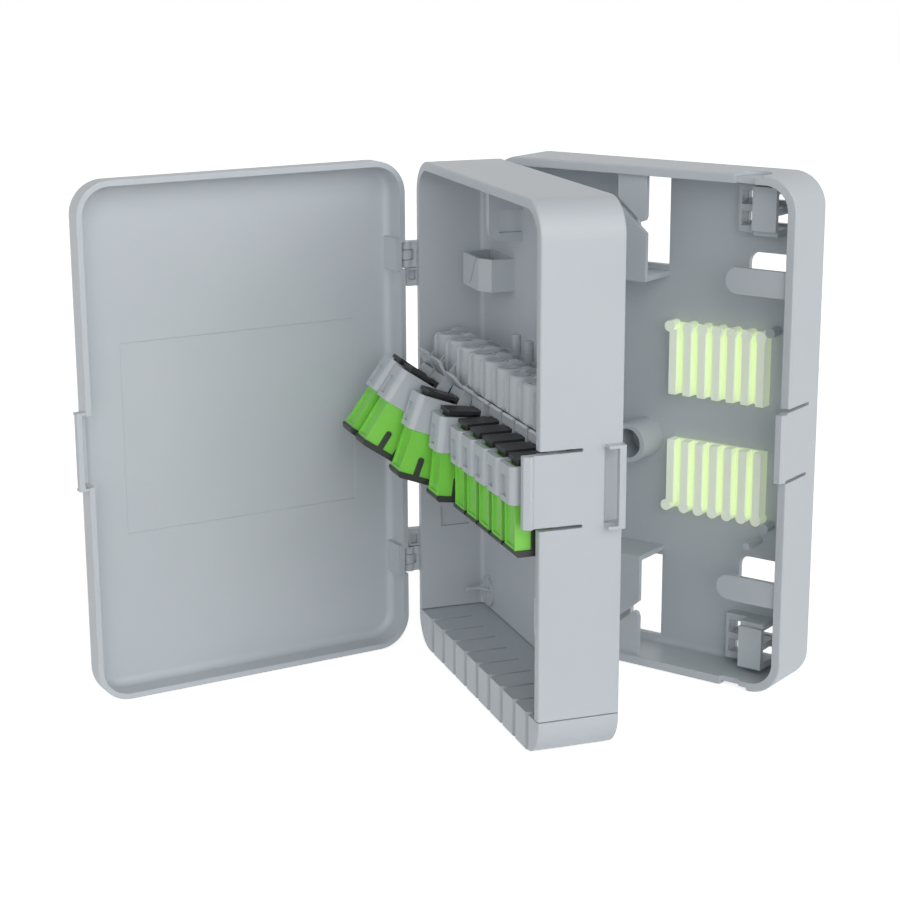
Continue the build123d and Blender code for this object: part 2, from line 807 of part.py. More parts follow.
def swing_frame():
    """Middle leaf of the box, without its comb."""
    shape = leaf_shell(shell_wall, frame_back_y, frame_front_y, tray_back_y, tray_front_y)
    shape -= block(-box_width, box_width, 1, frame_front_y - 1, -box_height, comb_top_z)
    shape += fibre_pocket()
    shape += fibre_eyelet()
    shape += fibre_post()
    for x in screw_places():
        shape -= rod_y(x, rail_screw_z, screw_shank_radius + screw_gap, tray_front_y - 1, tray_back_y + 1)
    inner_x = half_width - shell_wall
    shape -= block(-inner_x + 1, -inner_x - recess_depth, recess_y - recess_length / 2,
                   recess_y + recess_length / 2, recess_z - recess_height / 2, recess_z + recess_height / 2)
    shape += block(inner_x + touch, inner_x - nib_reach, frame_front_y, frame_front_y + nib_depth,
                   nib_z - nib_height / 2, nib_z + nib_height / 2)
    for cut in latch_slits(frame_front_y):
        shape -= cut
    shape += latch_tongue(frame_front_y)
    shape -= keeper_slot(frame_back_y)
    shape += latch_keeper(frame_back_y, frame_keeper_arm)
    for z in hinge_heights:
        shape -= barrel_notch(frame_hinge_y, knuckle_notch_gap, middle_span(z))
        for barrel in footed_barrels(frame_hinge_y, -half_width + touch, outer_spans(z)):
            shape += barrel
        for barrel in lugged_barrels(cover_hinge_y, frame_front_y, outer_spans(z)):
            shape += barrel
        shape += hinge_bridge(z)
        shape += hook_block(z)
    return shape


def cable_comb():
    """Comb along the bottom of the middle leaf, slotted for the cables."""
    whole = leaf_outline(frame_back_y, frame_front_y)
    shape = whole & block(-box_width, box_width, 1, frame_front_y - 1, -box_height, comb_top_z - comb_step)
    inner = rounded_slab(half_width - comb_wall, half_height - comb_wall, corner_radius - comb_wall,
                         frame_back_y - comb_wall, frame_front_y + comb_wall)
    shape -= inner & block(-box_width, box_width, 1, frame_front_y - 1,
                           -box_height, comb_top_z - comb_step - comb_wall)
    for index in range(module_count):
        x = module_x(index)
        shape -= block(x - comb_slot_width / 2, x + comb_slot_width / 2, frame_front_y - 1,
                       frame_front_y + comb_slot_length, -box_height, 0)
        shape -= plate_xy([
            (x - comb_mouth_width / 2, frame_front_y), (x, frame_front_y + 2 * comb_mouth_depth),
            (x + comb_mouth_width / 2, frame_front_y), (x, frame_front_y - 1)], -half_height - 1, 0)
    return shape


def front_cover():
    """Shallow cover leaf."""
    outer = rounded_slab(half_width, half_height, corner_radius, cover_rim_y, cover_front_y)
    outer = fillet(outer.faces().sort_by(Axis.Y)[0].edges(), cover_edge_round)
    inner = rounded_slab(half_width - cover_wall, half_height - cover_wall, corner_radius - cover_wall,
                         cover_rim_y + 1, cover_front_y + cover_skin)
    inner = fillet(inner.faces().sort_by(Axis.Y)[0].edges(), inner_edge_round)
    shape = outer - inner
    floor_y = cover_front_y + cover_skin
    shape -= block(-label_half_width, label_half_width, floor_y + 1, floor_y - label_recess,
                   -label_half_height, label_half_height)
    inner_x = -half_width + cover_wall
    notch_x = hinge_x + knuckle_radius + cover_notch_gap
    for z in hinge_heights:
        shape -= barrel_notch(cover_hinge_y, cover_notch_gap, outer_spans(z))
        shape -= block(hinge_x, notch_x, cover_rim_y + 1, cover_hinge_y,
                       outer_spans(z)[0][0] - knuckle_side_gap, outer_spans(z)[1][1] + knuckle_side_gap)
        shape += block(notch_x, inner_x + hinge_pad_thickness, cover_rim_y, floor_y - touch,
                       z + hinge_pad_lift - hinge_pad_height / 2, z + hinge_pad_lift + hinge_pad_height / 2)
        for barrel in footed_barrels(cover_hinge_y, notch_x + touch, middle_span(z)):
            shape += barrel
    shape -= keeper_slot(cover_rim_y)
    shape += latch_keeper(cover_rim_y, cover_keeper_arm)
    return shape


def holder_web_plate(x, half, back_y):
    """Plate between a holder's cheeks that curves forward round the drum."""
    outer_radius = web_inner_radius + web_thickness
    ring = rod_x(pivot_y, pivot_z, outer_radius, x - half, x + half)
    ring -= rod_x(pivot_y, pivot_z, web_inner_radius, x - half - 1, x + half + 1)
    reach = 2 * outer_radius
    low, high = math.radians(web_low_angle), math.radians(web_high_angle)
    wedge = plate_yz([
        (pivot_y, pivot_z),
        (pivot_y - reach * math.sin(low), pivot_z - reach * math.cos(low)),
        (pivot_y - reach * math.sin(high), pivot_z - reach * math.cos(high))], x - half, x + half)
    foot = block(x - half, x + half, back_y, back_y - holder_web, holder_top_z - touch,
                 pivot_z - web_inner_radius - web_thickness / 2)
    return (ring & wedge) + foot


def module_holder(x):
    """Holder round one adapter's upper end, with two cheeks up to the pivot."""
    inner = adapter_half_width + holder_fit
    outer = inner + holder_cheek
    front_y = adapter_front_y - holder_front
    web_y = adapter_back_y + clip_strip + 2 * clip_strip_gap
    back_y = web_y + holder_web
    shape = block(x - outer, x + outer, back_y, front_y, holder_bottom_z, holder_top_z)
    shape = fillet(shape.edges().filter_by(Axis.Z).sort_by(Axis.Y)[:2], holder_round)
    shape -= block(x - inner, x + inner, web_y, adapter_front_y - holder_fit,
                   holder_bottom_z - 1, holder_top_z + 1)
    shape -= block(x - holder_window_left, x + holder_window_right, front_y + holder_window_depth, front_y - 1,
                   holder_bottom_z + holder_window_low, holder_top_z - holder_window_high)
    shape += holder_web_plate(x, inner + touch / 2, back_y)
    for side in (-1, 1):
        near = x + side * inner
        far = x + side * outer
        shape += plate_yz([
            (cheek_front_y, holder_bottom_z), (cheek_back_y, holder_bottom_z),
            (pivot_y + eye_radius, pivot_z), (pivot_y - eye_radius, pivot_z), (cheek_front_y, holder_top_z)],
            min(near, far), max(near, far))
        shape += rod_x(pivot_y, pivot_z, eye_radius, near, far)
    shape -= rod_x(pivot_y, pivot_z, eye_bore_radius, x - 2 * outer, x + 2 * outer)
    slot_half = clip_bar_width / 2 + bar_slot_gap
    low_z = clip_plate_low_z - bar_slot_gap
    high_z = clip_plate_low_z + clip_plate_thickness + bar_slot_gap
    shape -= block(x + clip_bar_inner - clip_bar_width - bar_slot_gap, x + clip_bar_inner + bar_slot_gap,
                   clip_plate_back_y, cheek_back_y, low_z, high_z)
    shape -= block(x - inner - 1, x + inner, clip_plate_back_y, clip_plate_tip_y + bar_slot_gap, low_z, high_z)
    return shape - block(x + inner - 1, x + outer + 1, pivot_y - slot_half, pivot_y + slot_half,
                         low_z, clip_bar_top_z + bar_slot_gap)


def module_adapter(x):
    """Adapter body with a port at each end and a sunk panel on its front."""
    shape = block(x - adapter_half_width, x + adapter_half_width, adapter_front_y, adapter_back_y,
                  adapter_bottom_z, adapter_top_z)
    middle_y = (adapter_front_y + adapter_back_y) / 2
    for end, inward in ((adapter_bottom_z, 1), (adapter_top_z, -1)):
        shape -= block(x - port_half_width, x + port_half_width, middle_y - port_depth / 2,
                       middle_y + port_depth / 2, end - inward, end + inward * port_length)
    edge = adapter_half_width - adapter_panel_edge
    return shape - block(x - edge, x + edge, adapter_front_y - 1, adapter_front_y + adapter_panel,
                         adapter_bottom_z + adapter_panel_edge, holder_bottom_z - adapter_panel_top)


def module_clip(x):
    """Clip that plugs both ports and runs behind the adapter."""
    low_z = adapter_bottom_z - clip_lip
    strip_y = adapter_back_y + clip_strip_gap
    back_y = strip_y + clip_strip
    high_z = clip_plate_low_z + clip_plate_thickness
    lip = plate_yz([
        (adapter_front_y - touch, adapter_bottom_z), (adapter_front_y - touch, low_z + clip_chamfer),
        (adapter_front_y - touch + clip_chamfer, low_z), (back_y, low_z), (back_y, adapter_bottom_z)],
        x - clip_half_width, x + clip_half_width)
    shape = lip + block(x - clip_strip_half, x + clip_strip_half, strip_y, back_y, low_z, high_z)
    middle_y = (adapter_front_y + adapter_back_y) / 2
    plug_x = port_half_width - clip_plug_gap
    plug_y = port_depth / 2 - clip_plug_gap
    shape += block(x - plug_x, x + plug_x, middle_y - plug_y, middle_y + plug_y,
                   adapter_bottom_z - touch, adapter_bottom_z + clip_plug)
    shape += block(x - plug_x, x + plug_x, middle_y - plug_y, middle_y + plug_y,
                   adapter_top_z - clip_plug, high_z)
    rib_y = adapter_front_y + clip_rib_setback
    rib_top = low_z + clip_rib_height
    near = x + adapter_half_width + holder_fit
    far = x + clip_half_width
    shape += block(near, far, rib_y - clip_rib_width / 2, rib_y + clip_rib_width / 2, low_z, rib_top)
    shape += rod_x(rib_y, rib_top, clip_rib_width / 2, near, far)
    shape += plate_xy([
        (x - clip_plate_half, clip_plate_front_y), (x + clip_plate_half, clip_plate_front_y),
        (x + clip_plate_half, clip_plate_back_y), (x, clip_plate_tip_y),
        (x - clip_plate_half, clip_plate_back_y)], clip_plate_low_z, high_z)
    bar_back_y = pivot_y + clip_bar_width / 2
    shape += block(x + clip_bar_inner - clip_bar_width, x + clip_bar_inner,
                   clip_plate_back_y - touch, bar_back_y, clip_plate_low_z, high_z)
    return shape + block(x + clip_bar_inner - touch, x + clip_bar_outer,
                         pivot_y - clip_bar_width / 2, bar_back_y, clip_plate_low_z, clip_bar_top_z)


def turn_frame(shape):
    """Swing a shape out with the middle leaf."""
    return shape.rotate(frame_axis, frame_turn)


def turn_cover(shape):
    """Swing a shape out with the cover and the middle leaf."""
    return turn_frame(shape.rotate(cover_axis, cover_turn))


def save(shape, name):
    """Write one piece under its own name."""
    shape.label = name
    export_step(shape, f"parts/{name}.step")


def main():
    """Make every piece in its place and write it."""
    os.makedirs("parts", exist_ok=True)
    save(back_base(), "base_shell")
    holder = splice_holder()
    save(holder, "splice_holder_upper")
    save(mirror_z(holder), "splice_holder_lower")
    save(turn_frame(swing_frame()), "swing_frame")
    save(turn_frame(cable_comb()), "cable_comb")
    save(turn_frame(pivot_rail()), "pivot_rail")
    save(turn_frame(pivot_rod()), "pivot_rod")
    for number, x in enumerate(screw_places(), start=1):
        save(turn_frame(rail_screw(x)), f"rail_screw_{number}")
    save(turn_cover(front_cover()), "front_cover")
    for level, z in zip(("upper", "lower"), hinge_heights):
        save(hinge_pin(frame_hinge_y, z), f"frame_hinge_pin_{level}")
        save(turn_frame(hinge_pin(cover_hinge_y, z)), f"cover_hinge_pin_{level}")
    for index in range(module_count):
        x = module_x(index)
        number = index + 1
        for name, maker in (("holder", module_holder), ("adapter", module_adapter), ("clip", module_clip)):
            shape = maker(x).rotate(swing_axis, module_swing[index])
            save(turn_frame(shape), f"{name}_{number}")


if __name__ == "__main__":
    main()
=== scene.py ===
"""Dress the three-leaf fibre box: plastics, small moulded details, light and view."""

import json
import logging
import math
from dataclasses import dataclass, field
from enum import Enum

import bpy
from mathutils import Matrix, Vector


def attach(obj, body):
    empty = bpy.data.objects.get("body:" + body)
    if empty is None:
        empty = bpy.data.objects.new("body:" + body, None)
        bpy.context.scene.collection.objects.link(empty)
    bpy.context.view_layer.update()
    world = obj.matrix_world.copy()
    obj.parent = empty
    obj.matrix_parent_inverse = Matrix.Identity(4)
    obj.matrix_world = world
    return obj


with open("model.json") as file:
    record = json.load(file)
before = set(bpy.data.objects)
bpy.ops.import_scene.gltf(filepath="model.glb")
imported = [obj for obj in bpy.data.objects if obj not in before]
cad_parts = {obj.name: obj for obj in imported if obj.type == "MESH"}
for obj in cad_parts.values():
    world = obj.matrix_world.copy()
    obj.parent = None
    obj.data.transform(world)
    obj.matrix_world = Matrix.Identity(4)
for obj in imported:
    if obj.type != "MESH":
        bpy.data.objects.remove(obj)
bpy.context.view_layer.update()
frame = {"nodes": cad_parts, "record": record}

logging.basicConfig(level=logging.INFO, format="%(message)s")
log = logging.getLogger("fibre_box")

MM = 0.001
SOFT_EDGE_STEPS = 2
SMOOTH_ANGLE = math.radians(30)
SAME_SPOT = 0.01 * MM
GRAIN_SCALE = 900.0
GRAIN_DETAIL = 3.0
FLOW_SCALE = 18.0
FLOW_DETAIL = 4.0
FLOW_ROUGHNESS = 0.55
ROUGH_MASK_LOW = 0.7
ROUGH_MASK_HIGH = 1.3
RIB_FRONT = -7.7 * MM
RIB_FLOOR = -4.6 * MM
WHITE = (1.0, 1.0, 1.0, 1.0)


class Slot(Enum):
    """Material slots of the record."""

    BODY = "body_plastic"
    COMB = "holder_plastic"
    ADAPTER = "adapter_plastic"
    CLIP = "clip_plastic"
    METAL = "pin_metal"


def node_group(
    name: str, inputs: dict[str, float], outputs: dict[str, str]
) -> bpy.types.NodeTree:
    """Start a shader node group with float inputs and named outputs.

    Args:
        name: Name of the group.
        inputs: Input names with their default values.
        outputs: Output names with their socket types.

    Returns:
        The group, with its input and output nodes in it.
    """
    group = bpy.data.node_groups.new(name, "ShaderNodeTree")
    for label, value in inputs.items():
        socket = group.interface.new_socket(
            name=label, in_out="INPUT", socket_type="NodeSocketFloat")
        socket.default_value = value
    for label, kind in outputs.items():
        group.interface.new_socket(name=label, in_out="OUTPUT", socket_type=kind)
    group.nodes.new("NodeGroupInput").name = "in"
    group.nodes.new("NodeGroupOutput").name = "out"
    return group


def select_only(piece: bpy.types.Object) -> None:
    """Select one object alone and make it active.

    Args:
        piece: The object.
    """
    bpy.ops.object.select_all(action="DESELECT")
    piece.select_set(True)
    bpy.context.view_layer.objects.active = piece


def soften(piece: bpy.types.Object, radius: float) -> None:
    """Round all sharp edges of a piece a little and smooth its shading.

    Args:
        piece: The piece.
        radius: Radius of the rounding, in metres.
    """
    select_only(piece)
    bevel = piece.modifiers.new("soft_edges", "BEVEL")
    bevel.width = radius
    bevel.segments = SOFT_EDGE_STEPS
    bevel.limit_method = "ANGLE"
    bpy.ops.object.modifier_apply(modifier=bevel.name)
    bpy.ops.object.shade_smooth_by_angle(angle=SMOOTH_ANGLE)


def round_corner(
    piece: bpy.types.Object, depth: float, height: float, radius: float, steps: int
) -> None:
    """Round one corner of a plate that stands across X.

    Args:
        piece: The plate.
        depth: Y of the corner, in metres.
        height: Z of the corner, in metres.
        radius: Radius of the rounding, in metres.
        steps: Segments of the rounding.
    """
    select_only(piece)
    bpy.ops.object.mode_set(mode="EDIT")
    bpy.ops.mesh.select_mode(type="EDGE")
    bpy.ops.mesh.select_all(action="DESELECT")
    bpy.ops.object.mode_set(mode="OBJECT")
    corner = Vector((depth, height))
    for edge in piece.data.edges:
        ends = [piece.data.vertices[index].co for index in edge.vertices]
        edge.select = all((Vector((end.y, end.z)) - corner).length < SAME_SPOT for end in ends)
    bpy.ops.object.mode_set(mode="EDIT")
    bpy.ops.mesh.bevel(offset=radius, segments=steps)
    bpy.ops.object.mode_set(mode="OBJECT")


def finish_piece(
    piece: bpy.types.Object, finish: bpy.types.Material, body: str
) -> None:
    """Dress a new piece and let it ride on its body.

    Args:
        piece: The piece.
        finish: Its material.
        body: The body that carries it.
    """
    piece.data.materials.clear()
    piece.data.materials.append(finish)
    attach(piece, body)
    log.info("added %s on %s", piece.name, body)


def moulded_grain() -> bpy.types.NodeTree:
    """Build the group that gives moulded plastic its fine grain and slow flow marks.

    Returns:
        A group with a tone mask, a roughness shift and a height.
    """
    group = node_group(
        "moulded_grain",
        {"Grain Scale": GRAIN_SCALE, "Flow Scale": FLOW_SCALE},
        {"Tone": "NodeSocketFloat", "Rough": "NodeSocketFloat", "Height": "NodeSocketFloat"},
    )
    nodes, links = group.nodes, group.links
    place = nodes.new("ShaderNodeTexCoord")
    fine = nodes.new("ShaderNodeTexNoise")
    fine.inputs["Detail"].default_value = GRAIN_DETAIL
    flow = nodes.new("ShaderNodeTexNoise")
    flow.inputs["Detail"].default_value = FLOW_DETAIL
    flow.inputs["Roughness"].default_value = FLOW_ROUGHNESS
    links.new(place.outputs["Object"], fine.inputs["Vector"])
    links.new(place.outputs["Object"], flow.inputs["Vector"])
    links.new(nodes["in"].outputs["Grain Scale"], fine.inputs["Scale"])
    links.new(nodes["in"].outputs["Flow Scale"], flow.inputs["Scale"])
    rough = nodes.new("ShaderNodeMath")
    rough.operation = "ADD"
    links.new(fine.outputs["Fac"], rough.inputs[0])
    links.new(flow.outputs["Fac"], rough.inputs[1])
    links.new(flow.outputs["Fac"], nodes["out"].inputs["Tone"])
    links.new(rough.outputs["Value"], nodes["out"].inputs["Rough"])
    links.new(fine.outputs["Fac"], nodes["out"].inputs["Height"])
    return group


def floor_glow() -> bpy.types.NodeTree:
    """Build the group that finds the thin floor between the splice holders' ribs, where a
    painted glow stands in for light shining through the translucent plastic.

    Returns:
        A group with the mask of the painted glow: 1 on the floor and 0 on the ribs' fronts.
    """
    group = node_group(
        "floor_glow",
        {"Rib Front": RIB_FRONT, "Floor": RIB_FLOOR},
        {"Mask": "NodeSocketFloat"},
    )
    nodes, links = group.nodes, group.links
    place = nodes.new("ShaderNodeTexCoord")
    parts = nodes.new("ShaderNodeSeparateXYZ")
    links.new(place.outputs["Object"], parts.inputs["Vector"])
    depth = nodes.new("ShaderNodeMapRange")
    depth.interpolation_type = "SMOOTHSTEP"
    links.new(parts.outputs["Y"], depth.inputs["Value"])
    links.new(nodes["in"].outputs["Rib Front"], depth.inputs["From Min"])
    links.new(nodes["in"].outputs["Floor"], depth.inputs["From Max"])
    links.new(depth.outputs["Result"], nodes["out"].inputs["Mask"])
    return group


@dataclass(frozen=True)
class PlasticFinish:
    """A moulded plastic: its colours, gloss and grain, and an optional painted glow, a greener
    emitted colour between the ribs standing in for light through translucent plastic.
    """

    name: str
    colour: tuple[float, float, float]
    shade: tuple[float, float, float]
    rough_low: float
    rough_high: float
    grain_scale: float = GRAIN_SCALE
    grain_height: float = 0.02 * MM
    coat: float = 0.0
    coat_roughness: float = 0.12
    ior: float = 1.5
    bump_strength: float = 0.6
    flow_low: float = 0.35
    flow_high: float = 0.65
    edge_radius: float = 0.2 * MM
    edge_samples: int = 3
    # Strength of the painted glow: emission that stands in for light shining through translucent
    # plastic.
    glow: float = 0.0
    # Brighter, greener colour painted on the floor between the ribs, standing in for light
    # shining through the translucent plastic.
    painted_glow_colour: tuple[float, float, float] | None = None

    def make(self, grain: bpy.types.NodeTree) -> bpy.types.Material:
        """Make the material.

        Args:
            grain: The moulded grain group.

        Returns:
            The finished material.
        """
        material = bpy.data.materials.new(self.name)
        material.use_nodes = True
        nodes, links = material.node_tree.nodes, material.node_tree.links
        shader = nodes["Principled BSDF"]
        surface = nodes.new("ShaderNodeGroup")
        surface.node_tree = grain
        surface.inputs["Grain Scale"].default_value = self.grain_scale
        tone = nodes.new("ShaderNodeMix")
        tone.data_type = "RGBA"
        tone.inputs["A"].default_value = (*self.shade, 1.0)
        tone.inputs["B"].default_value = (*self.colour, 1.0)
        spread = nodes.new("ShaderNodeMapRange")
        spread.inputs["From Min"].default_value = self.flow_low
        spread.inputs["From Max"].default_value = self.flow_high
        links.new(surface.outputs["Tone"], spread.inputs["Value"])
        links.new(spread.outputs["Result"], tone.inputs["Factor"])
        colour = tone.outputs["Result"]
        # Painted glow: the floor between the ribs is mixed towards a brighter green and that
        # colour is also emitted, standing in for light through the translucent plastic.
        if self.painted_glow_colour is not None:
            depth = nodes.new("ShaderNodeGroup")
            depth.node_tree = floor_glow()
            painted_glow_mix = nodes.new("ShaderNodeMix")
            painted_glow_mix.data_type = "RGBA"
            painted_glow_mix.inputs["B"].default_value = (*self.painted_glow_colour, 1.0)
            links.new(depth.outputs["Mask"], painted_glow_mix.inputs["Factor"])
            links.new(colour, painted_glow_mix.inputs["A"])
            colour = painted_glow_mix.outputs["Result"]
            links.new(colour, shader.inputs["Emission Color"])
        links.new(colour, shader.inputs["Base Color"])
        rough = nodes.new("ShaderNodeMapRange")
        rough.inputs["From Min"].default_value = ROUGH_MASK_LOW
        rough.inputs["From Max"].default_value = ROUGH_MASK_HIGH
        rough.inputs["To Min"].default_value = self.rough_low
        rough.inputs["To Max"].default_value = self.rough_high
        links.new(surface.outputs["Rough"], rough.inputs["Value"])
        links.new(rough.outputs["Result"], shader.inputs["Roughness"])
        bump = nodes.new("ShaderNodeBump")
        bump.inputs["Distance"].default_value = self.grain_height
        bump.inputs["Strength"].default_value = self.bump_strength
        links.new(surface.outputs["Height"], bump.inputs["Height"])
        softened = nodes.new("ShaderNodeBevel")
        softened.samples = self.edge_samples
        softened.inputs["Radius"].default_value = self.edge_radius
        links.new(softened.outputs["Normal"], bump.inputs["Normal"])
        links.new(bump.outputs["Normal"], shader.inputs["Normal"])
        # Painted glow: the emission makes the plastic light up though it is no lamp.
        shader.inputs["Emission Strength"].default_value = self.glow
        shader.inputs["Coat Weight"].default_value = self.coat
        shader.inputs["Coat Roughness"].default_value = self.coat_roughness
        shader.inputs["IOR"].default_value = self.ior
        return material


@dataclass(frozen=True)
class SteelFinish:
    """Drawn steel of the pins, the rod and the screws."""

    name: str = "drawn_steel"
    colour: tuple[float, float, float] = (0.56, 0.56, 0.55)
    grain_scale: float = 2500.0
    rough_low: float = 0.28
    rough_high: float = 0.42

    def make(self, grain: bpy.types.NodeTree) -> bpy.types.Material:
        """Make the material.

        Args:
            grain: The moulded grain group.

        Returns:
            The finished material.
        """
        material = bpy.data.materials.new(self.name)
        material.use_nodes = True
        nodes, links = material.node_tree.nodes, material.node_tree.links
        shader = nodes["Principled BSDF"]
        shader.inputs["Base Color"].default_value = (*self.colour, 1.0)
        shader.inputs["Metallic"].default_value = 1.0
        surface = nodes.new("ShaderNodeGroup")
        surface.node_tree = grain
        surface.inputs["Grain Scale"].default_value = self.grain_scale
        rough = nodes.new("ShaderNodeMapRange")
        rough.inputs["From Min"].default_value = ROUGH_MASK_LOW
        rough.inputs["From Max"].default_value = ROUGH_MASK_HIGH
        rough.inputs["To Min"].default_value = self.rough_low
        rough.inputs["To Max"].default_value = self.rough_high
        links.new(surface.outputs["Rough"], rough.inputs["Value"])
        links.new(rough.outputs["Result"], shader.inputs["Roughness"])
        return material


@dataclass
class Finishes:
    """All finishes of the box, one for each material slot."""

    body: PlasticFinish = PlasticFinish(
        "light_grey_plastic", (0.565, 0.605, 0.640), (0.545, 0.585, 0.620), 0.36, 0.46)
    # The comb's emission and greener floor between the ribs are a painted glow that stands in
    # for light passing through the translucent plastic.
    comb: PlasticFinish = PlasticFinish(
        "pale_green_translucent", (0.83, 0.89, 0.75), (0.79, 0.86, 0.71), 0.18, 0.28,
        grain_height=0.006 * MM, coat=0.3, glow=0.25, painted_glow_colour=(0.83, 0.94, 0.62))
    adapter: PlasticFinish = PlasticFinish(
        "fresh_green_plastic", (0.27, 0.77, 0.10), (0.24, 0.71, 0.09), 0.28, 0.38,
        grain_height=0.01 * MM, coat=0.1)
    clip: PlasticFinish = PlasticFinish(
        "black_clip_plastic", (0.040, 0.040, 0.042), (0.032, 0.032, 0.034), 0.32, 0.44,
        grain_height=0.01 * MM)
    metal: SteelFinish = SteelFinish()

    def dress(self, nodes: dict[str, bpy.types.Object]) -> dict[str, bpy.types.Material]:
        """Give every CAD node the finish of its slot.

        Args:
            nodes: The CAD nodes by name.

        Returns:
            The finishes by the name of their slot.
        """
        grain = moulded_grain()
        made = {
            Slot.BODY.value: self.body.make(grain),
            Slot.COMB.value: self.comb.make(grain),
            Slot.ADAPTER.value: self.adapter.make(grain),
            Slot.CLIP.value: self.clip.make(grain),
            Slot.METAL.value: self.metal.make(grain),
        }
        slots = {part["node"]: part["material_slot"] for part in frame["record"]["subparts"]}
        for name, piece in nodes.items():
            finish = made[slots[name]]
            for place in piece.material_slots:
                place.material = finish
            if not piece.material_slots:
                piece.data.materials.append(finish)
            log.info("dressed %s", name)
        return made


@dataclass
class LeafStance:
    """How the middle leaf stands open: its hinge line and its angle."""

    hinge_x: float = -69.5 * MM
    hinge_y: float = -27.0 * MM
    angle: float = math.radians(-35.0)

    def place(self, piece: bpy.types.Object, spot: Vector) -> None:
        """Carry a piece from the shut leaf's frame into the open stance.

        Args:
            piece: The piece, with its mesh about its own origin.
            spot: Where its origin lies on the shut leaf, in metres.
        """
        hinge = Matrix.Translation((self.hinge_x, self.hinge_y, 0.0))
        turn = hinge @ Matrix.Rotation(self.angle, 4, "Z") @ hinge.inverted()
        piece.matrix_world = turn @ Matrix.Translation(spot)
        select_only(piece)
        bpy.ops.object.transform_apply(location=True, rotation=True, scale=True)


@dataclass
class DrumEars:
    """Thin rounded ears beside the pivot drums of the adapter row."""

    count: int = 9
    pitch: float = 13.35 * MM
    row_centre: float = 3.2 * MM
    side: float = -3.6 * MM
    thickness: float = 1.2 * MM
    front: float = -52.9 * MM
    back: float = -44.6 * MM
    low: float = 16.9 * MM
    high: float = 33.12 * MM
    top_corner: float = 2.6 * MM
    low_corner: float = 4.6 * MM
    corner_steps: int = 8
    edge: float = 0.2 * MM
    stance: LeafStance = field(default_factory=LeafStance)

    def model(self) -> bpy.types.Object:
        """Model one ear about its own centre.

        Returns:
            The ear, with its front corners rounded and its edges softened.
        """
        bpy.ops.object.select_all(action="DESELECT")
        bpy.ops.mesh.primitive_cube_add(size=1.0)
        ear = bpy.context.object
        ear.scale = (self.thickness, self.back - self.front, self.high - self.low)
        bpy.ops.object.transform_apply(scale=True)
        front = (self.front - self.back) / 2
        top = (self.high - self.low) / 2
        round_corner(ear, front, top, self.top_corner, self.corner_steps)
        round_corner(ear, front, -top, self.low_corner, self.corner_steps)
        soften(ear, self.edge)
        return ear

    def build(self, finish: bpy.types.Material) -> None:
        """Make every ear of the row.

        Args:
            finish: The finish of the leaf.
        """
        depth, height = (self.front + self.back) / 2, (self.low + self.high) / 2
        for index in range(self.count):
            ear = self.model()
            ear.name = f"drum_ear_{index + 1}"
            across = self.row_centre + (index - (self.count - 1) / 2) * self.pitch + self.side
            self.stance.place(ear, Vector((across, depth, height)))
            finish_piece(ear, finish, "frame")


@dataclass(frozen=True)
class DomeLight:
    """A very broad, even light from one side."""

    name: str = "side_dome"
    side: tuple[float, float, float] = (0.92, -0.39, 0.05)
    strength: float = 2.75
    spread: float = 1.7

    def add(self) -> None:
        """Add the light to the scene."""
        data = bpy.data.lights.new(self.name, "SUN")
        data.energy = self.strength
        data.angle = self.spread
        lamp = bpy.data.objects.new(self.name, data)
        lamp.matrix_world = Vector(self.side).to_track_quat("Z", "Y").to_matrix().to_4x4()
        bpy.context.scene.collection.objects.link(lamp)


@dataclass(frozen=True)
class SoftLight:
    """One soft area light that faces the box."""

    name: str = "fill_light"
    place: tuple[float, float, float] = (-0.5, -1.4, 0.4)
    target: tuple[float, float, float] = (0.0, -0.06, 0.0)
    power: float = 2.6
    size: float = 1.2

    def add(self) -> None:
        """Add the light to the scene."""
        data = bpy.data.lights.new(self.name, "AREA")
        data.energy = self.power
        data.size = self.size
        lamp = bpy.data.objects.new(self.name, data)
        away = Vector(self.place) - Vector(self.target)
        turn = away.to_track_quat("Z", "Y").to_matrix().to_4x4()
        lamp.matrix_world = Matrix.Translation(self.place) @ turn
        bpy.context.scene.collection.objects.link(lamp)


